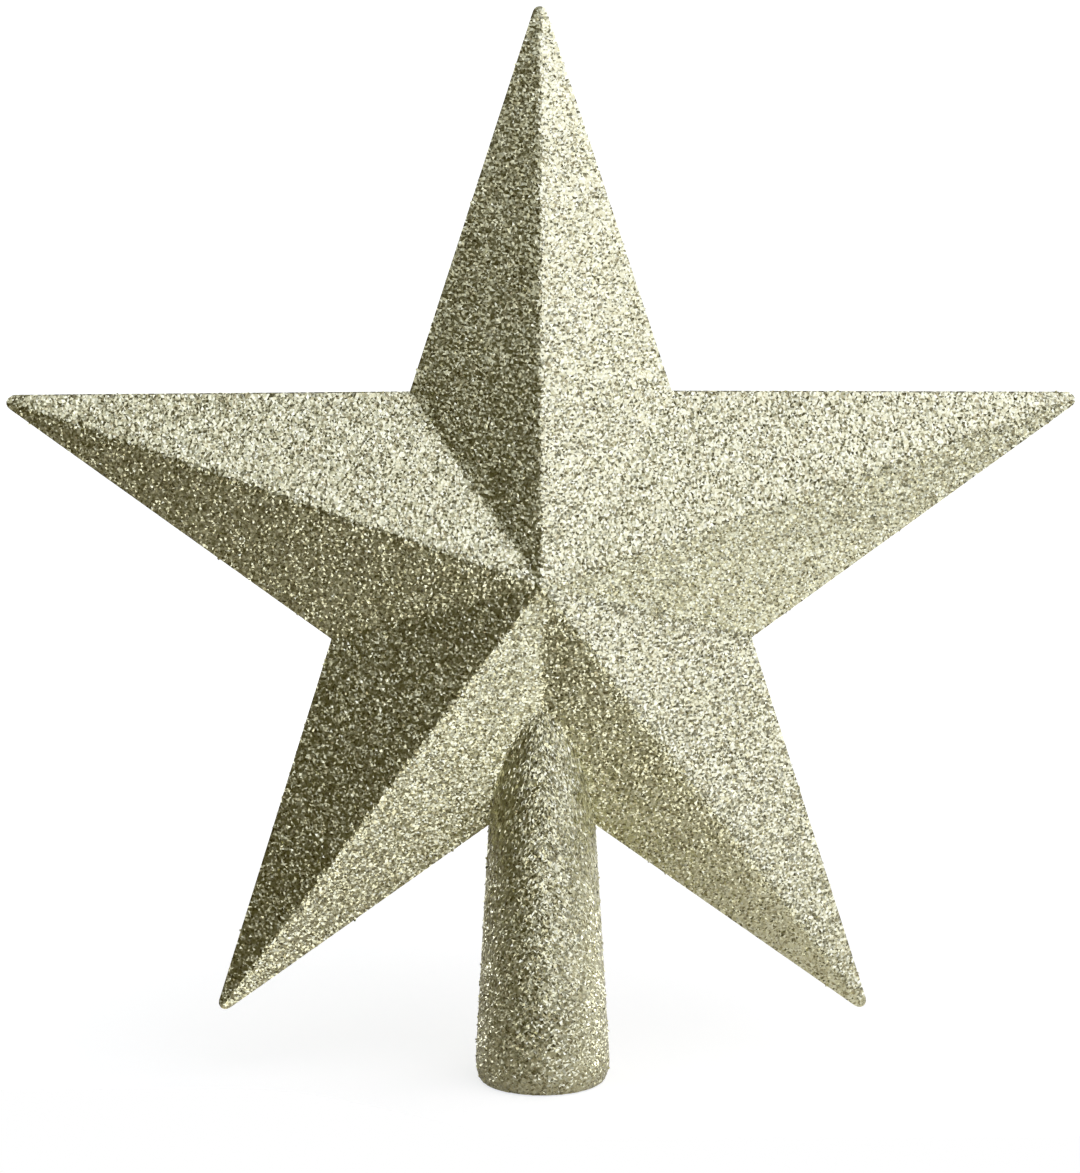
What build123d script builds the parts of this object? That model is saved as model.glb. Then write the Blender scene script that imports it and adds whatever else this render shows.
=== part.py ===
from build123d import *
import os
from math import atan2, cos, pi, radians, sin, sqrt, tan

# A glittered five-pointed tree topper star on a tapered socket.
# The star stands in the XZ plane with its front towards -Y.
# The origin is the middle of the socket's mouth, and the socket opens downwards.

# Star, in bare plastic
point_count = 5
star_radius = 98.7  # centre to the corner of a point, before it is rounded
notch_radius = 38.2  # centre to an inner corner
peak_height = 18.3  # middle plane to the peak of either face
rim_half = 1.0  # middle plane to the foot of the facets
tip_round = 0.75
star_height = 92.4  # socket mouth to the centre of the star

# Moulded half shells and their cemented lap seam
shell_wall = 1.2
seam_land = 2.6  # width of the flat edge on which the halves meet
lip_width = 1.2  # raised inner part of the front half's edge
lip_height = 0.8
lip_gap = 0.1  # slack beside the lip
cement_thickness = 0.2

# Socket tube, drawn upwards off its core
bore_radius = 9.5  # parallel stretch at the mouth
bore_length = 10.0
mouth_wall = 2.4  # from the bore to the tube's outside, carried down to the mouth
mouth_break = 0.3  # bevel of the foot's inner edge
foot_width = 1.35  # rounding of the foot's outer edge, across
foot_height = 3.7  # rounding of the foot's outer edge, upwards
tube_draft = 3.35  # degrees on each side
tube_wall = 1.6  # at the upper end

# Collar round the top of the tube and the ribs that trap it
collar_drop = 8.0  # star's centre down to the underside of the collar
collar_width = 1.8
collar_thickness = 1.8
rib_wall = 1.5
rib_margin = 3.0  # rib beyond the collar on each side
fit_gap = 0.15  # slack round the tube and over its collar

# Glitter in its clear lacquer
coat = 0.5
coat_stop = 0.2  # bare plastic left above the foot

overrun = 1.0  # cuts run past the faces that they open

# Worked out from the sizes above
half_step = pi / point_count
edge_length = sqrt(star_radius**2 + notch_radius**2 - 2 * star_radius * notch_radius * cos(half_step))
edge_distance = star_radius * notch_radius * sin(half_step) / edge_length
slope = atan2(peak_height - rim_half, edge_distance)

tube_radius = bore_radius + mouth_wall
collar_bottom = star_height - collar_drop
tube_top = collar_bottom + collar_thickness
rib_levels = (collar_bottom - rib_wall / 2, tube_top + fit_gap + rib_wall / 2)

front_plane = Plane((0, 0, star_height), x_dir=(1, 0, 0), z_dir=(0, -1, 0))
rear_plane = Plane((0, 0, star_height), x_dir=(-1, 0, 0), z_dir=(0, 1, 0))


def tube_outside(height):
    """Outside radius of the bare tube at a height above its mouth."""
    return tube_radius - height * tan(radians(tube_draft))


collar_radius = tube_outside(collar_bottom) + collar_width
rib_length = 2 * (collar_radius + rib_margin)


def star_outline(grow):
    """Star outline with every edge moved outwards by grow."""
    stretch = 1 + grow / edge_distance
    corners = []
    for step in range(2 * point_count):
        reach = notch_radius if step % 2 else star_radius
        turn = step * half_step
        corners.append((reach * stretch * sin(turn), reach * stretch * cos(turn)))
    with BuildSketch(mode=Mode.PRIVATE) as outline:
        with BuildLine():
            Polyline(*corners, close=True)
        make_face()
    return outline.sketch


def half_star(plane, rim_grow, face_grow, tip_arc=0):
    """Half of the star on one side of the middle plane: a straight rim, then facets up to the peak.

    The rim is moved outwards by rim_grow and the facets by face_grow, each square to itself.
    """
    rim = rim_half + (face_grow / sin(slope) - rim_grow) * tan(slope)
    peak = plane.origin + plane.z_dir * (peak_height + face_grow / cos(slope))
    with BuildPart(mode=Mode.PRIVATE) as half:
        with BuildSketch(plane) as outline:
            add(star_outline(rim_grow))
            if tip_arc:
                fillet(outline.vertices().sort_by_distance((0, 0))[point_count:], tip_arc)
        extrude(amount=rim)
        foot = half.faces().sort_by(Axis(plane.origin, plane.z_dir))[-1]
        loft([foot, Vertex(*peak)], ruled=True)
    return half.part


def bare_half(plane):
    """Outside of a half shell."""
    return half_star(plane, 0, 0, tip_round)


def coated_half(plane):
    """Outside of the glitter over a half shell."""
    return half_star(plane, coat, coat, tip_round + coat)


def hollow(plane):
    """Room inside a half shell, with slots where its two ribs stand."""
    with BuildPart(mode=Mode.PRIVATE) as room:
        add(half_star(plane, -seam_land, -shell_wall))
        with BuildSketch(plane):
            for level in rib_levels:
                with Locations((0, level - star_height)):
                    Rectangle(rib_length, rib_wall)
        extrude(amount=peak_height, mode=Mode.SUBTRACT)
    return room.part


def seam_ring(outer_inset):
    """Band of the seam land from outer_inset to the hollow."""
    with BuildSketch(mode=Mode.PRIVATE) as ring:
        add(star_outline(-outer_inset))
        add(star_outline(-seam_land), mode=Mode.SUBTRACT)
    return ring.sketch


def tube_room():
    """Space that the shells leave for the tube."""
    with BuildPart(mode=Mode.PRIVATE) as room:
        with BuildSketch(Plane.XZ):
            with BuildLine():
                Polyline(
                    (0, -overrun),
                    (tube_outside(-overrun) + fit_gap, -overrun),
                    (tube_outside(tube_top) + fit_gap, tube_top),
                    (0, tube_top),
                    close=True,
                )
            make_face()
        revolve(axis=Axis.Z)
    return room.part


def tube_blank(skin):
    """Outside of the tube as a solid, its surface moved outwards by skin, with a rounded foot."""
    middle = (tube_outside(foot_height) - foot_width, foot_height)
    with BuildPart(mode=Mode.PRIVATE) as blank:
        with BuildSketch(Plane.XZ):
            with BuildLine():
                foot = EllipticalCenterArc(
                    middle, foot_width + skin, foot_height + skin, start_angle=270, arc_size=90
                )
                Polyline(
                    foot @ 1,
                    (tube_outside(tube_top) + skin, tube_top),
                    (0, tube_top),
                    (0, -skin),
                    foot @ 0,
                )
            make_face()
        revolve(axis=Axis.Z)
    return blank.part


os.makedirs("parts", exist_ok=True)

# Front half, with the raised lip of the lap seam
with BuildPart() as front_shell:
    add(bare_half(front_plane))
    add(hollow(front_plane), mode=Mode.SUBTRACT)
    with BuildSketch(front_plane):
        add(seam_ring(seam_land - lip_width + lip_gap))
    extrude(amount=-lip_height)
    add(tube_room(), mode=Mode.SUBTRACT)
front_shell.part.label = "front_shell"
export_step(front_shell.part, "parts/front_shell.step")

# Rear half, with the rebate that takes the lip and the cement
with BuildPart() as rear_shell:
    add(bare_half(rear_plane))
    add(hollow(rear_plane), mode=Mode.SUBTRACT)
    with BuildSketch(rear_plane):
        add(seam_ring(seam_land - lip_width))
    extrude(amount=lip_height + cement_thickness, mode=Mode.SUBTRACT)
    add(tube_room(), mode=Mode.SUBTRACT)
rear_shell.part.label = "rear_shell"
export_step(rear_shell.part, "parts/rear_shell.step")

# Cement between the lip and the floor of the rebate
with BuildPart() as seam_cement:
    with BuildSketch(rear_plane.offset(lip_height)):
        add(seam_ring(seam_land - lip_width + lip_gap))
    extrude(amount=cement_thickness)
    add(tube_room(), mode=Mode.SUBTRACT)
seam_cement.part.label = "seam_cement"
export_step(seam_cement.part, "parts/seam_cement.step")

# Tapered socket with a rounded foot and the collar that the ribs hold
with BuildPart() as socket_tube:
    add(tube_blank(0))
    with BuildSketch(Plane.XY.offset(collar_bottom)):
        Circle(collar_radius)
    extrude(amount=collar_thickness)
    with BuildSketch(Plane.XZ):
        with BuildLine():
            Polyline(
                (0, -overrun),
                (bore_radius, -overrun),
                (bore_radius, bore_length),
                (tube_outside(tube_top) - tube_wall, tube_top),
                (0, tube_top),
                close=True,
            )
        make_face()
    revolve(axis=Axis.Z, mode=Mode.SUBTRACT)
    mouth = socket_tube.edges().filter_by(GeomType.CIRCLE).group_by(Axis.Z)[0].sort_by(SortBy.RADIUS)[0]
    chamfer(mouth, mouth_break)
socket_tube.part.label = "socket_tube"
export_step(socket_tube.part, "parts/socket_tube.step")

# Skin of glitter over the star and the tube, open at the foot
with BuildPart() as glitter_coat:
    add(coated_half(front_plane))
    add(coated_half(rear_plane))
    add(tube_blank(coat))
    with BuildSketch(Plane.XY.offset(coat_stop)):
        Circle(tube_radius + coat + overrun)
    extrude(amount=-coat_stop - coat - overrun, mode=Mode.SUBTRACT)
    add(bare_half(front_plane), mode=Mode.SUBTRACT)
    add(bare_half(rear_plane), mode=Mode.SUBTRACT)
    add(tube_blank(0), mode=Mode.SUBTRACT)
glitter_coat.part.label = "glitter_coat"
export_step(glitter_coat.part, "parts/glitter_coat.step")
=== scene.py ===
from math import asin, atan2, cos, pi, radians, sin, sqrt, tan

import bmesh
import bpy
import numpy as np
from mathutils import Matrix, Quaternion, Vector
from mathutils.geometry import delaunay_2d_cdt


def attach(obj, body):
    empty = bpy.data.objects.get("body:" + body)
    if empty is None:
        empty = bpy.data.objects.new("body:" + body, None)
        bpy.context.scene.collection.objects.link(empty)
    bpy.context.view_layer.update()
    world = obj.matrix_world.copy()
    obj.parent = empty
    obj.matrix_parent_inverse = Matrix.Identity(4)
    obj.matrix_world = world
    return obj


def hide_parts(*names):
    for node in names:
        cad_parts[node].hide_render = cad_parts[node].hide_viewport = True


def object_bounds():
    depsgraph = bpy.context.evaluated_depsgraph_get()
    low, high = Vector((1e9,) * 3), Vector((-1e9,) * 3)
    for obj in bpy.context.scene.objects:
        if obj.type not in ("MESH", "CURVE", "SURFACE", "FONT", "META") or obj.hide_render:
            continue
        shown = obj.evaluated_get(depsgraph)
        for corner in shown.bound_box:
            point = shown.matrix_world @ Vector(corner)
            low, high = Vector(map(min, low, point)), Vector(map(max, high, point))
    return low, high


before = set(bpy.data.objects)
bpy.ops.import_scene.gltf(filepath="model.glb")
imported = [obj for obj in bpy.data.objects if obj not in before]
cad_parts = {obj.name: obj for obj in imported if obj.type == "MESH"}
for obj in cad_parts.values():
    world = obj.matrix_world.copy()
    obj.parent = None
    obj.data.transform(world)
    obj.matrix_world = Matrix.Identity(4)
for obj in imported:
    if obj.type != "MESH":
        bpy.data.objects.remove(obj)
cad_low, cad_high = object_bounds()

# A glittered tree topper star.
# Its plastic pieces come with the frame, and its coat of flakes is made here.
# Lengths are in metres. In plan, x runs across the star and w upwards from its middle.

# Star and tube in bare plastic, as the part's source has them
POINTS = 5
STAR_RADIUS = 0.0987
NOTCH_RADIUS = 0.0382
PEAK_HEIGHT = 0.0183
RIM_HALF = 0.001
TIP_ROUND = 0.00075
STAR_HEIGHT = 0.0924
TUBE_RADIUS = 0.0119
TUBE_DRAFT = radians(3.35)
FOOT_WIDTH = 0.00135
FOOT_HEIGHT = 0.0037
COAT = 0.0005
COAT_STOP = 0.0002

# Flakes
FLAKE = 0.00045  # usual distance between the corners of flakes
FLAKE_DROP = 0.0002  # usual depth of a corner below the outside of the coat
FLAKE_SPREAD = 0.00004
DROP_RANGE = (0.00002, 0.00042)
FLAKE_JITTER = 0.3  # share of a flake by which its corners stray
EDGE_JITTER = 0.25  # the same along the outline
EDGE_MARGIN = 0.5  # share of a flake kept clear inside the outline
FACET_TILTS = (0.14, 0.4)  # of a usual flake and of a steep one, on the facets
TUBE_TILTS = (0.25, 0.45)
STEEP_SHARE = 0.15  # share of the flakes that are steep
EDGE_SOFT = 0.0005  # how far the lacquer rounds the ridges, valleys and peak
UNDERLAP = 0.0002  # coat of the star under that of the tube, and the other way round
CLEARANCE = 0.00003  # between the coat and the plastic
RIM_ROWS = 3
ARCH_STRETCH = 1.3  # how much longer the star's edge over the tube is than in plan
TUBE_INSIDE_ROWS = (1, 0.5, 0.06, 0.04, 0.02, 0.008, 0)  # shares of the height of the tube's coat
HALVINGS = 40  # steps in the search for where the tube meets the star
TRIANGLES_ALL_OVER = 0  # kind of result asked of delaunay_2d_cdt
MERGE_DISTANCE = 1e-9
STRAY_COUNT = 5200
STRAY_RADII = (0.00016, 0.0003)
STRAY_THICKNESS = 0.00003
STRAY_SIDES = 6
STRAY_TILT = 0.4
STRAY_LIFT = 0.00008

# Maps for baking, in shares of a map
MAP_WIDTHS = 2.2  # star radii across the map of a star's half
RIM_STEP = 0.003  # between the rows of the rim
INSIDE_SCALE = 0.04  # of the inside, which doesn't show
STRAY_CELLS = 80  # stray flakes along each side of their map
STRAY_FILL = 0.4  # flake's radius in its cell

# Camera, as the photo's lines place it, looking slightly below the middle of the star
PHOTO_HEIGHT_PX = 1173
FOCAL_PX = 3480
SENSOR = 36.0
CLIP_START = 0.01
CAMERA_DISTANCE = 0.6105
CAMERA_ELEVATION = radians(9.06)
CAMERA_AZIMUTH = radians(-0.147)
CAMERA_ROLL = radians(-0.157)
AIM_SHIFT = (-0.00024, 0, -0.00296)

# Stage: a dim room, with a white floor and a white wall round the back
# The floor ends close in front of the star, so that the low lamps reach the facets that face down.
ROOM = (0.056, 0.047, 0.006)
SHEET_COLOUR = (0.5, 0.46, 0.37, 1)
SHEET_ROUGHNESS = 0.9
SHEET_GLOW = (0.97, 1, 1.05, 1)
STAGE_RADIUS = 0.9
FLOOR_FRONTS = (-0.006, -0.034)  # front edge of the floor on the left and on the right
FRONT_BEND = (-0.055, 0.005)  # stretch across over which it goes from the one to the other
FRONT_STEPS = 12
WALL_HEIGHT = 1.2
WALL_STEPS = 24
# The floor glows less to the camera near the foot: painted shade round the foot, which deepens its
# real shadow.
PAINTED_SHADE_SPAN = (0.0, 0.35)  # distances from the foot over which the floor's lift grows
FLOOR_SEEN_AND_FOOT_SHADE = (0.7, 0.96)
WALL_SEEN = (1.0, 1.0)
# The floor glows more in reflections towards the key: a painted reflection of the key's light on
# the floor.
PAINTED_REFLECTION_SPAN = (-0.03, 0.09)  # stretch towards the key over which the floor's reflection brightens
FLOOR_PAINTED_REFLECTION = (0.0, 0.5)
WALL_MIRRORED = (1.0, 1.0)

# Lamps, all turned towards the middle of the star: name, place, size, radiance and colour
LAMPS = (
    ("key", (0.4, -0.35, 0.5), 1.1, 1.42, (0.94, 0.972, 1.2)),
    ("left_top", (-0.25, -0.3, 0.45), 0.4, 0.78, (0.96, 1.0, 1.1)),
    ("low_right", (0.4, -0.4, -0.45), 0.4, 1.66, (0.93, 0.98, 1.2)),
    ("low_front", (0.0, -0.45, -0.5), 0.38, 1.95, (0.98, 0.99, 1.05)),
    ("low_left", (-0.35, -0.32, -0.45), 0.35, 0.3, (1.0, 0.98, 0.94)),
    ("front", (0.0, -0.6, -0.15), 0.17, 3.0, (0.99, 1.0, 1.0)),
    ("rear_right", (0.5, 0.3, 0.17), 0.3, 2.9, (0.96, 0.99, 1.1)),
    ("rear_left", (-0.4, 0.42, 0.2), 0.3, 2.0, (0.96, 0.99, 1.1)),
)

# Colours of the flakes, from the dark gaps between them to the palest
FLAKE_COLOURS = (
    (0.0, (0.24, 0.2, 0.08)),
    (0.12, (0.38, 0.335, 0.16)),
    (0.16, (0.62, 0.58, 0.33)),
    (0.6, (0.74, 0.715, 0.45)),
    (1.0, (0.88, 0.875, 0.64)),
)

# Flow marks in the plastic
MARK_SCALE = 90.0
MARK_DETAIL = 4.0
MARK_ENDS = (0.3, 0.7)  # values of the marks that are quite dark and quite light

# Worked out from the sizes above
HALF_STEP = pi / POINTS
EDGE_LENGTH = sqrt(
    STAR_RADIUS**2 + NOTCH_RADIUS**2 - 2 * STAR_RADIUS * NOTCH_RADIUS * cos(HALF_STEP)
)
EDGE_DISTANCE = STAR_RADIUS * NOTCH_RADIUS * sin(HALF_STEP) / EDGE_LENGTH
SLOPE = atan2(PEAK_HEIGHT - RIM_HALF, EDGE_DISTANCE)
TIP_HALF_ANGLE = asin(EDGE_DISTANCE / STAR_RADIUS)
RIDGE_WEIGHT = cos(TIP_HALF_ANGLE)
VALLEY_WEIGHT = sin(TIP_HALF_ANGLE) * sin(HALF_STEP) - cos(TIP_HALF_ANGLE) * cos(HALF_STEP)
STAR_MIDDLE = Vector((0, 0, STAR_HEIGHT))
ROOT = "root"


def rim_height(grow):
    """Middle plane to the foot of the facets, on a star grown by grow all over."""
    return RIM_HALF + (grow / sin(SLOPE) - grow) * tan(SLOPE)


def from_middle(x, w):
    """Distance from the middle of the star, and angle off the nearest point's ridge."""
    aside = np.abs((np.arctan2(x, w) + HALF_STEP) % (2 * HALF_STEP) - HALF_STEP)
    return np.hypot(x, w), aside


def edge_share(x, w, grow, soft=0.0):
    """0 at the middle of a star grown by grow, 1 on the straight lines of its outline.

    The ridges and valleys are rounded over about the length soft.
    """
    reach, aside = from_middle(x, w)
    from_ridge = reach * np.sin(aside)
    from_valley = reach * np.sin(HALF_STEP - aside)
    distance = (
        sin(TIP_HALF_ANGLE) * reach * np.cos(aside)
        + RIDGE_WEIGHT * np.hypot(from_ridge, soft)
        + VALLEY_WEIGHT * (np.hypot(from_valley, soft) - from_valley)
    )
    return distance / (EDGE_DISTANCE + grow)


def star_face(x, w, grow, soft=0.0):
    """Height of the facets above the middle plane."""
    peak = PEAK_HEIGHT + grow / cos(SLOPE)
    return peak - (peak - rim_height(grow)) * edge_share(x, w, grow, soft)


def tip_arc(grow):
    """Distance from the star's middle to the centre of a point's rounding, and its radius."""
    radius = TIP_ROUND + grow
    return (STAR_RADIUS * (1 + grow / EDGE_DISTANCE) - radius / sin(TIP_HALF_ANGLE)), radius


def in_star(x, w, y, grow, soft=0.0):
    """Whether points lie inside a star grown by grow."""
    return (edge_share(x, w, grow) < 1) & (np.abs(y) < star_face(x, w, grow, soft))


def tube_profile(z, grow):
    """Radius of the tube grown by grow, with its rounded foot."""
    cone = TUBE_RADIUS - np.maximum(z, FOOT_HEIGHT) * tan(TUBE_DRAFT)
    below = np.clip((FOOT_HEIGHT - z) / (FOOT_HEIGHT + grow), 0, 1)
    return cone - FOOT_WIDTH + (FOOT_WIDTH + grow) * np.sqrt(1 - below**2)


def tube_meets_star(turns, tube_grow, star_grow, soft=0.0):
    """Height at which the tube goes into the star, at each angle round the tube from its front."""
    low = np.full(len(turns), NOTCH_RADIUS / 2)
    high = np.full(len(turns), STAR_HEIGHT)
    for _ in range(HALVINGS):
        middle = (low + high) / 2
        radius = tube_profile(middle, tube_grow)
        inside = in_star(
            radius * np.sin(turns), middle - STAR_HEIGHT, radius * np.cos(turns), star_grow, soft
        )
        low = np.where(inside, low, middle)
        high = np.where(inside, middle, high)
    return high


def outline(grow, edge_shares, arc_shares):
    """Points of the star's outline, clockwise from the bottom notch, as x and w."""
    centre, radius = tip_arc(grow)
    notch = NOTCH_RADIUS * (1 + grow / EDGE_DISTANCE)
    swing = pi / 2 - TIP_HALF_ANGLE
    points = []
    for step in range(POINTS):
        tip_turn = pi + HALF_STEP * (2 * step + 1)
        along = np.array((sin(tip_turn), cos(tip_turn)))
        across = np.array((cos(tip_turn), -sin(tip_turn)))
        before = notch * (cos(HALF_STEP) * along - sin(HALF_STEP) * across)
        after = notch * (cos(HALF_STEP) * along + sin(HALF_STEP) * across)
        arc = [
            along * (centre + radius * cos(turn)) + across * radius * sin(turn)
            for turn in swing * arc_shares
        ]
        points += [before + (arc[0] - before) * share for share in edge_shares]
        points += arc
        points += [arc[-1] + (after - arc[-1]) * share for share in 1 - edge_shares[:0:-1]]
    return np.array(points)


def coat_drops(rng, count):
    """Random depths of flake corners below the outside of the coat."""
    return np.clip(rng.normal(FLAKE_DROP, FLAKE_SPREAD, count), *DROP_RANGE)


def hex_grid(rng, half_width, half_height):
    """Jittered points about a flake apart, over a rectangle round the origin."""
    xs = np.arange(-half_width, half_width, FLAKE)
    ws = np.arange(-half_height, half_height, FLAKE * sin(pi / 3))
    x, w = np.meshgrid(xs, ws)
    x = x + (np.arange(len(ws)) % 2)[:, None] * FLAKE / 2
    grid = np.column_stack((x.ravel(), w.ravel()))
    return grid + rng.uniform(-FLAKE_JITTER, FLAKE_JITTER, grid.shape) * FLAKE


def triangulate(plan, ring_length, lines=()):
    """Triangles over plan points, folded along the lines.

    They fill the clockwise ring that the first points make.
    """
    ring = list(range(ring_length))[::-1]
    points = [Vector(point) for point in plan]
    _, _, faces, _, _, owners = delaunay_2d_cdt(
        points, list(lines), [ring], TRIANGLES_ALL_OVER, MERGE_DISTANCE, True
    )
    return np.array([face for face, owner in zip(faces, owners) if owner])


def strip(rings, width):
    """Triangles between neighbouring rings of vertices, given as index rows of the same width."""
    faces = []
    for upper, lower in zip(rings, rings[1:]):
        for side in range(width):
            following = (side + 1) % width
            a, b, c, d = upper[side], upper[following], lower[following], lower[side]
            faces += [(a, b, c), (a, c, d)] if side % 2 else [(a, b, d), (b, c, d)]
    return np.array(faces)


def tilt_flakes(mesh, rng, tilts):
    """Turns the normal of each flake its own way, most of them a little and some of them far."""
    count = len(mesh.polygons)
    normals = np.empty(count * 3, np.float32)
    mesh.polygons.foreach_get("normal", normals)
    normals = normals.reshape(-1, 3)
    usual, steep = tilts
    spread = np.where(rng.random(count) < STEEP_SHARE, steep, usual)
    turn = rng.normal(0, 1, (count, 3)) * spread[:, None]
    turn -= normals * (turn * normals).sum(axis=1)[:, None]
    tilted = normals + turn
    tilted /= np.linalg.norm(tilted, axis=1)[:, None]
    mesh.normals_split_custom_set(np.repeat(tilted, 3, axis=0))


def make_piece(name, vertices, faces, uv, rng, tilts):
    """Closed mesh object with a random tint and tilt on each face, and its own map for baking."""
    mesh = bpy.data.meshes.new(name)
    vertices = np.clip(vertices, np.array(cad_low), np.array(cad_high))
    mesh.from_pydata(vertices.tolist(), [], faces.tolist())
    tint = mesh.attributes.new("tint", "FLOAT", "FACE")
    tint.data.foreach_set("value", rng.random(len(faces)).astype(np.float32))
    layer = mesh.uv_layers.new(name="OFBake")
    layer.data.foreach_set("uv", uv.reshape(-1).astype(np.float32))
    shaped = bmesh.new()
    shaped.from_mesh(mesh)
    bmesh.ops.recalc_face_normals(shaped, faces=shaped.faces)
    shaped.to_mesh(mesh)
    shaped.free()
    tilt_flakes(mesh, rng, tilts)
    piece = bpy.data.objects.new(name, mesh)
    bpy.context.scene.collection.objects.link(piece)
    return piece


def star_skin(name, side, seed):
    """Half of the star's glitter, with flakes outside and plain facets inside.

    The side is -1 for the front and 1 for the rear.
    """
    rng = np.random.default_rng(seed)

    # Ring round the half: the outline clear of the tube, then the arch over the tube
    edge_count = round(EDGE_LENGTH / FLAKE)
    edge_shares = np.arange(edge_count) / edge_count
    edge_shares[1:] += rng.uniform(-EDGE_JITTER, EDGE_JITTER, edge_count - 1) / edge_count
    arc_count = round((TIP_ROUND + COAT) * (pi - 2 * TIP_HALF_ANGLE) / FLAKE)
    arc_shares = np.linspace(-1, 1, arc_count)
    outer = outline(COAT, edge_shares, arc_shares)
    inner = outline(CLEARANCE, edge_shares, arc_shares)
    tube_side = tube_profile(STAR_HEIGHT - NOTCH_RADIUS, UNDERLAP)
    clear = (np.abs(outer[:, 0]) > tube_side) | (outer[:, 1] > 0)
    outer, inner = outer[clear], inner[clear]
    arch_reach = pi / 2 - asin(rim_height(COAT) / tube_side) - FLAKE / tube_side
    arch_count = round(2 * ARCH_STRETCH * tube_side * arch_reach / FLAKE)
    arch_turns = np.linspace(arch_reach, -arch_reach, arch_count)

    def arch(tube_grow, star_grow, soft):
        z = tube_meets_star(arch_turns, tube_grow, star_grow, soft)
        return np.column_stack((tube_profile(z, tube_grow) * np.sin(arch_turns), z - STAR_HEIGHT))

    outer_ring = np.concatenate((outer, arch(UNDERLAP, COAT, EDGE_SOFT)))
    inner_ring = np.concatenate((inner, arch(CLEARANCE, CLEARANCE, 0)))
    on_outline = np.arange(len(outer_ring)) < len(outer)
    ring_length = len(outer_ring)

    # Corners of the flakes on the facets
    grid = hex_grid(rng, STAR_RADIUS, STAR_RADIUS)
    x, w = grid.T
    margin = FLAKE * EDGE_MARGIN
    centre, radius = tip_arc(COAT)
    reach, aside = from_middle(x, w)
    along, across = reach * np.cos(aside), reach * np.sin(aside)
    face = star_face(x, w, COAT, EDGE_SOFT)
    tube = tube_profile(w + STAR_HEIGHT, UNDERLAP)
    inside = (
        (edge_share(x, w, COAT) < 1 - margin / EDGE_DISTANCE)
        & ((along < centre) | (np.hypot(along - centre, across) < radius - margin))
        & ((w > 0) | (np.hypot(x, face) > tube + margin))
    )
    plan = np.concatenate((outer_ring, grid[inside]))
    top_faces = triangulate(plan, ring_length)
    heights = star_face(plan[:, 0], plan[:, 1], COAT, EDGE_SOFT)
    heights -= coat_drops(rng, len(plan)) / cos(SLOPE)
    top = np.column_stack((plan[:, 0], heights, plan[:, 1]))

    # Rim down to the middle plane, back under the coat, and up to the facets inside
    outwards = outer - inner
    outwards /= np.linalg.norm(outwards, axis=1)[:, None]
    inner_top = np.column_stack(
        (inner_ring[:, 0], star_face(*inner_ring.T, CLEARANCE), inner_ring[:, 1])
    )
    rows = []
    for row in range(1, RIM_ROWS + 2):
        ring = top[:ring_length] + (inner_top - top[:ring_length]) * row / (RIM_ROWS + 2)
        sunk = outer - outwards * coat_drops(rng, len(outer))[:, None]
        plan_row = sunk if row <= RIM_ROWS else inner
        level = rim_height(COAT) * max(0, 1 - row / RIM_ROWS)
        ring[on_outline, 0] = plan_row[:, 0]
        ring[on_outline, 1] = level
        ring[on_outline, 2] = plan_row[:, 1]
        rows.append(ring)

    # Facets inside, folded along the ridges and valleys
    tips = []
    notches = []
    for step in range(POINTS):
        turn = HALF_STEP * 2 * step
        tips.append(np.argmax(inner_ring @ (sin(turn), cos(turn))))
        turn = HALF_STEP * (2 * step + 1)
        place = NOTCH_RADIUS * np.array((sin(turn), cos(turn)))
        notches.append(np.argmin(np.linalg.norm(inner_ring - place, axis=1)))
    notches[POINTS // 2] = len(outer) + len(arch_turns) // 2
    folds = [(ring_length, int(corner)) for corner in (*tips, *notches)]
    inner_faces = triangulate(np.concatenate((inner_ring, [(0, 0)])), ring_length, folds)
    peak = np.array([(0, star_face(0.0, 0.0, CLEARANCE), 0)])

    # One mesh of them all
    vertices = np.concatenate((top, *rows, inner_top, peak))
    starts = [0] + [len(top) + ring_length * row for row in range(len(rows) + 1)]
    rings = [np.arange(start, start + ring_length) for start in starts]
    strip_faces = strip(rings, ring_length)
    faces = np.concatenate((top_faces, strip_faces, inner_faces + starts[-1]))
    flat = vertices[:, [0, 2]] / (MAP_WIDTHS * STAR_RADIUS) + 0.5
    skirt = flat.copy()
    for row, ring in enumerate(rings):
        skirt[ring[: len(outer)]] += outwards * row * RIM_STEP
    uv = flat[faces]
    shown = slice(len(top_faces), len(top_faces) + len(strip_faces))
    uv[shown] = skirt[faces[shown]]
    uv[shown.stop :] *= INSIDE_SCALE
    vertices[:, 1] *= side
    vertices[:, 2] += STAR_HEIGHT
    return make_piece(name, vertices, faces, uv, rng, FACET_TILTS)


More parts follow.
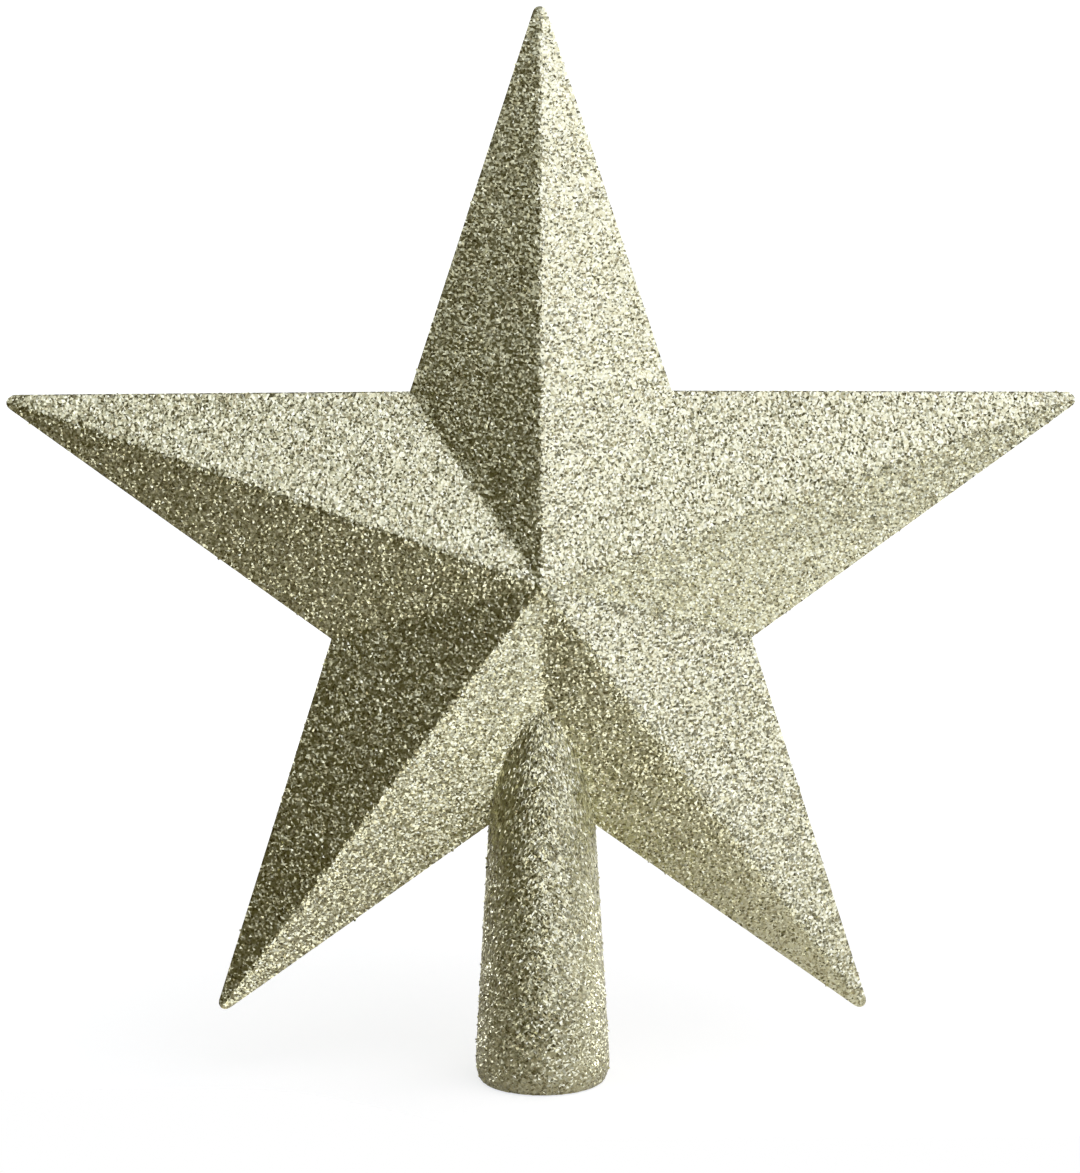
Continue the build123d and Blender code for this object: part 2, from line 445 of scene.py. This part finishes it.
def tube_skin(name, seed):
    """Glitter round the tube, from just above its foot to just inside the star."""
    rng = np.random.default_rng(seed)
    columns = 2 * round(pi * TUBE_RADIUS / FLAKE)
    turns = 2 * pi * np.arange(columns) / columns
    tops = tube_meets_star(turns, COAT, COAT - UNDERLAP)
    row_count = round((tops.mean() - COAT_STOP) / (FLAKE * sin(pi / 3)))
    rows = []
    for row in range(row_count + 1):
        inner_share = min(row, row_count - row, 1)
        jitter = rng.uniform(-FLAKE_JITTER, FLAKE_JITTER, (2, columns)) * inner_share
        turn = turns + (row % 2 / 2 + jitter[0]) * 2 * pi / columns
        z = COAT_STOP + (tops - COAT_STOP) * (row + jitter[1]) / row_count
        radius = tube_profile(z, COAT) - coat_drops(rng, columns)
        rows.append(np.column_stack((radius * np.sin(turn), -radius * np.cos(turn), z)))
    for share in TUBE_INSIDE_ROWS:
        z = COAT_STOP + (tops - COAT_STOP) * share
        radius = tube_profile(z, CLEARANCE)
        rows.append(np.column_stack((radius * np.sin(turns), -radius * np.cos(turns), z)))
    vertices = np.concatenate(rows)
    rings = [np.arange(columns) + columns * row for row in range(len(rows))]
    faces = strip(rings + rings[:1], columns)
    row_of, column_of = np.divmod(faces, columns)
    wrapped = (column_of == 0) & (column_of.max(axis=1) == columns - 1)[:, None]
    uv = np.stack((column_of + columns * wrapped, np.minimum(row_of, row_count)), axis=2)
    uv = uv / (columns + 1, row_count + 1)
    return make_piece(name, vertices, faces, uv, rng, TUBE_TILTS)


def stray_flakes(name, carriers, seed):
    """Loose hexagonal flakes that stand up out of the coat of the carriers."""
    rng = np.random.default_rng(seed)
    places = []
    normals = []
    for carrier in carriers:
        count = len(carrier.data.vertices)
        co = np.empty(count * 3, np.float32)
        carrier.data.vertices.foreach_get("co", co)
        no = np.empty(count * 3, np.float32)
        carrier.data.vertex_normals.foreach_get("vector", no)
        places.append(co.reshape(-1, 3))
        normals.append(no.reshape(-1, 3))
    places = np.concatenate(places)
    normals = np.concatenate(normals)
    chosen = rng.choice(len(places), STRAY_COUNT, replace=False)
    upright = normals[chosen] + rng.normal(0, STRAY_TILT, (STRAY_COUNT, 3))
    upright /= np.linalg.norm(upright, axis=1)[:, None]
    across = np.cross(upright, rng.normal(0, 1, (STRAY_COUNT, 3)))
    across /= np.linalg.norm(across, axis=1)[:, None]
    third = np.cross(upright, across)
    radii = rng.uniform(*STRAY_RADII, STRAY_COUNT)[:, None]
    middles = places[chosen] + normals[chosen] * STRAY_LIFT
    corners = []
    for level in (-1, 1):
        for side in range(STRAY_SIDES):
            turn = 2 * pi * side / STRAY_SIDES
            flat = across * cos(turn) + third * sin(turn)
            corners.append(middles + flat * radii + upright * level * STRAY_THICKNESS / 2)
    corners = np.stack(corners, axis=1)
    within = ((corners > np.array(cad_low)) & (corners < np.array(cad_high))).all(axis=(1, 2))
    corners = corners[within]
    pattern = [(0, side + 1, side) for side in range(1, STRAY_SIDES - 1)]
    pattern += [tuple(STRAY_SIDES + corner for corner in face[::-1]) for face in pattern]
    for side in range(STRAY_SIDES):
        following = (side + 1) % STRAY_SIDES
        pattern.append((side, following, following + STRAY_SIDES))
        pattern.append((side, following + STRAY_SIDES, side + STRAY_SIDES))
    starts = np.arange(len(corners))[:, None, None] * 2 * STRAY_SIDES
    faces = (starts + np.array(pattern)[None]).reshape(-1, 3)
    vertices = corners.reshape(-1, 3)
    cell = np.column_stack(np.divmod(np.arange(len(corners)), STRAY_CELLS)) / STRAY_CELLS
    around = np.arange(2 * STRAY_SIDES) * pi / STRAY_SIDES
    spot = np.column_stack((np.cos(around), np.sin(around))) * STRAY_FILL / STRAY_CELLS
    spot += 0.5 / STRAY_CELLS
    uv = (cell[:, None] + spot[None]).reshape(-1, 2)[faces]
    return make_piece(name, vertices, faces, uv, rng, FACET_TILTS)


def new_material(name, **values):
    """Material with a Principled shader that has these values."""
    material = bpy.data.materials.new(name)
    material.use_nodes = True
    shader = material.node_tree.nodes["Principled BSDF"]
    for socket, value in values.items():
        shader.inputs[socket.replace("_", " ")].default_value = value
    return material, material.node_tree, shader


def colour_ramp(tree, source, shader, stops):
    """Base colour from a value through a ramp of (place, colour) stops."""
    ramp = tree.nodes.new("ShaderNodeValToRGB")
    elements = ramp.color_ramp.elements
    while len(elements) < len(stops):
        elements.new(1.0)
    for element, (place, colour) in zip(elements, stops):
        element.position = place
        element.color = (*colour, 1)
    tree.links.new(source, ramp.inputs["Fac"])
    tree.links.new(ramp.outputs["Color"], shader.inputs["Base Color"])


def glitter_material():
    """Metallised flakes: champagne to gold, with dark gaps of lacquer between them."""
    material, tree, shader = new_material(
        "gold_glitter",
        Metallic=1.0,
        Roughness=0.3,
        Coat_Weight=1.0,
        Coat_Roughness=0.25,
        Coat_IOR=1.6,
    )
    tint = tree.nodes.new("ShaderNodeAttribute")
    tint.attribute_name = "tint"
    colour_ramp(tree, tint.outputs["Fac"], shader, FLAKE_COLOURS)
    return material


def plastic_material(name, dark, light, roughness):
    """Moulded plastic with faint flow marks."""
    material, tree, shader = new_material(name, Roughness=roughness)
    place = tree.nodes.new("ShaderNodeTexCoord")
    marks = tree.nodes.new("ShaderNodeTexNoise")
    marks.inputs["Scale"].default_value = MARK_SCALE
    marks.inputs["Detail"].default_value = MARK_DETAIL
    tree.links.new(place.outputs["Object"], marks.inputs["Vector"])
    colour_ramp(tree, marks.outputs["Fac"], shader, tuple(zip(MARK_ENDS, (dark, light))))
    return material


def dress(node, material):
    """Gives a CAD node this material alone."""
    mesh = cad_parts[node].data
    mesh.materials.clear()
    mesh.materials.append(material)


def soft_light(name, place, size, radiance, colour):
    """Square soft box with this radiance, turned towards the middle of the star."""
    light = bpy.data.lights.new(name, "AREA")
    light.shape = "SQUARE"
    light.size = size
    light.energy = radiance * pi * size**2
    light.color = colour
    lamp = bpy.data.objects.new(name, light)
    lamp.location = place
    towards = STAR_MIDDLE - Vector(place)
    lamp.rotation_euler = towards.to_track_quat("-Z", "Y").to_euler()
    bpy.context.scene.collection.objects.link(lamp)


def place_camera():
    """Camera of the photo."""
    towards = Vector(
        (
            cos(CAMERA_ELEVATION) * sin(CAMERA_AZIMUTH),
            -cos(CAMERA_ELEVATION) * cos(CAMERA_AZIMUTH),
            sin(CAMERA_ELEVATION),
        )
    )
    data = bpy.data.cameras.new("camera")
    data.sensor_width = SENSOR
    data.lens = FOCAL_PX * SENSOR / PHOTO_HEIGHT_PX
    data.clip_start = CLIP_START
    camera = bpy.data.objects.new("camera", data)
    camera.location = STAR_MIDDLE + towards * CAMERA_DISTANCE
    aim = STAR_MIDDLE + Vector(AIM_SHIFT)
    looking = (aim - camera.location).to_track_quat("-Z", "Y")
    camera.rotation_mode = "QUATERNION"
    camera.rotation_quaternion = looking @ Quaternion((0, 0, 1), CAMERA_ROLL)
    bpy.context.scene.collection.objects.link(camera)
    bpy.context.scene.camera = camera


def build_world():
    """Dim room that is white to the camera."""
    world = bpy.data.worlds.new("studio")
    bpy.context.scene.world = world
    world.use_nodes = True
    tree = world.node_tree
    path = tree.nodes.new("ShaderNodeLightPath")
    seen = tree.nodes.new("ShaderNodeMix")
    seen.data_type = "RGBA"
    seen.inputs["A"].default_value = (*ROOM, 1)
    seen.inputs["B"].default_value = (1, 1, 1, 1)
    tree.links.new(path.outputs["Is Camera Ray"], seen.inputs["Factor"])
    tree.links.new(seen.outputs["Result"], tree.nodes["Background"].inputs["Color"])


def ramp_along(tree, source, span, levels):
    """Value that goes smoothly from one level to the other over a span of the source."""
    ramp = tree.nodes.new("ShaderNodeMapRange")
    ramp.interpolation_type = "SMOOTHSTEP"
    for socket, value in zip(("From Min", "From Max", "To Min", "To Max"), (*span, *levels)):
        ramp.inputs[socket].default_value = value
    tree.links.new(source, ramp.inputs["Value"])
    return ramp.outputs["Result"]


def combine(tree, operation, first, second):
    """Value worked out from two others."""
    node = tree.nodes.new("ShaderNodeMath")
    node.operation = operation
    tree.links.new(first, node.inputs[0])
    tree.links.new(second, node.inputs[1])
    return node.outputs["Value"]


def white_sheet(name, corners, faces, seen_glow_and_foot_shade, mirror_glow_and_painted_reflection):
    """Stage sheet that is pale under the lamps, and whiter to the camera and in reflections.

    The glows seen by the camera are given near the foot and far from it; on the floor the lower
    glow near the foot is painted shade round the foot. The glows in reflections are given on the
    left and on the right; on the floor the glow that grows towards the key is a painted reflection
    of the key's light.
    """
    mesh = bpy.data.meshes.new(name)
    mesh.from_pydata(corners, [], faces)
    sheet = bpy.data.objects.new(name, mesh)
    bpy.context.scene.collection.objects.link(sheet)
    material, tree, shader = new_material(
        name, Base_Color=SHEET_COLOUR, Roughness=SHEET_ROUGHNESS, Emission_Color=SHEET_GLOW
    )
    path = tree.nodes.new("ShaderNodeLightPath")
    place = tree.nodes.new("ShaderNodeTexCoord")
    axes = tree.nodes.new("ShaderNodeSeparateXYZ")
    tree.links.new(place.outputs["Object"], axes.inputs["Vector"])
    mirrored = combine(
        tree, "MAXIMUM", path.outputs["Is Glossy Ray"], path.outputs["Is Transmission Ray"]
    )
    # Painted reflection: on the floor the glow in reflections grows towards the key.
    reflected_glow_and_painted_reflection = ramp_along(tree, axes.outputs["X"], PAINTED_REFLECTION_SPAN, mirror_glow_and_painted_reflection)
    distance = tree.nodes.new("ShaderNodeVectorMath")
    distance.operation = "LENGTH"
    tree.links.new(place.outputs["Object"], distance.inputs[0])
    # Painted shade: on the floor the glow seen by the camera is lower near the foot.
    camera_glow_and_foot_shade = ramp_along(tree, distance.outputs["Value"], PAINTED_SHADE_SPAN, seen_glow_and_foot_shade)
    in_mirror = combine(tree, "MULTIPLY", mirrored, reflected_glow_and_painted_reflection)
    in_view = combine(tree, "MULTIPLY", path.outputs["Is Camera Ray"], camera_glow_and_foot_shade)
    tree.links.new(combine(tree, "ADD", in_view, in_mirror), shader.inputs["Emission Strength"])
    mesh.materials.append(material)


def build_stage():
    """Floor with a bend in its front edge, and a half round backdrop."""
    left, right = FLOOR_FRONTS
    bend_start, bend_end = FRONT_BEND
    corners = [(-STAGE_RADIUS, STAGE_RADIUS, 0), (-STAGE_RADIUS, left, 0)]
    for step in range(FRONT_STEPS + 1):
        x = bend_start + (bend_end - bend_start) * step / FRONT_STEPS
        share = (1 - cos(pi * step / FRONT_STEPS)) / 2
        corners.append((x, left + (right - left) * share, 0))
    corners += [(STAGE_RADIUS, right, 0), (STAGE_RADIUS, STAGE_RADIUS, 0)]
    white_sheet("floor", corners, [tuple(range(len(corners)))], FLOOR_SEEN_AND_FOOT_SHADE, FLOOR_PAINTED_REFLECTION)

    corners = []
    for step in range(WALL_STEPS + 1):
        turn = pi * step / WALL_STEPS
        for height in (0, WALL_HEIGHT):
            corners.append((STAGE_RADIUS * cos(turn), STAGE_RADIUS * sin(turn), height))
    faces = [(2 * step, 2 * step + 2, 2 * step + 3, 2 * step + 1) for step in range(WALL_STEPS)]
    white_sheet("backdrop", corners, faces, WALL_SEEN, WALL_MIRRORED)


place_camera()
build_world()
build_stage()
for lamp in LAMPS:
    soft_light(*lamp)

glitter = glitter_material()
front_glitter = star_skin("front_glitter", side=-1, seed=11)
rear_glitter = star_skin("rear_glitter", side=1, seed=12)
socket_glitter = tube_skin("socket_glitter", seed=13)
loose = stray_flakes("stray_flakes", (front_glitter, rear_glitter, socket_glitter), seed=14)
for piece in (front_glitter, rear_glitter, socket_glitter, loose):
    piece.data.materials.append(glitter)
    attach(piece, ROOT)
    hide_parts("glitter_coat")

shell_plastic = plastic_material(
    "moulded_plastic", dark=(0.55, 0.5, 0.34), light=(0.66, 0.62, 0.46), roughness=0.4
)
socket_plastic = plastic_material(
    "socket_plastic", dark=(0.6, 0.57, 0.45), light=(0.7, 0.67, 0.55), roughness=0.35
)
clear_cement = plastic_material(
    "clear_cement", dark=(0.74, 0.72, 0.62), light=(0.85, 0.83, 0.76), roughness=0.25
)
dress("front_shell", shell_plastic)
dress("rear_shell", shell_plastic)
dress("socket_tube", socket_plastic)
dress("seam_cement", clear_cement)

bpy.context.scene.view_settings.view_transform = "Standard"
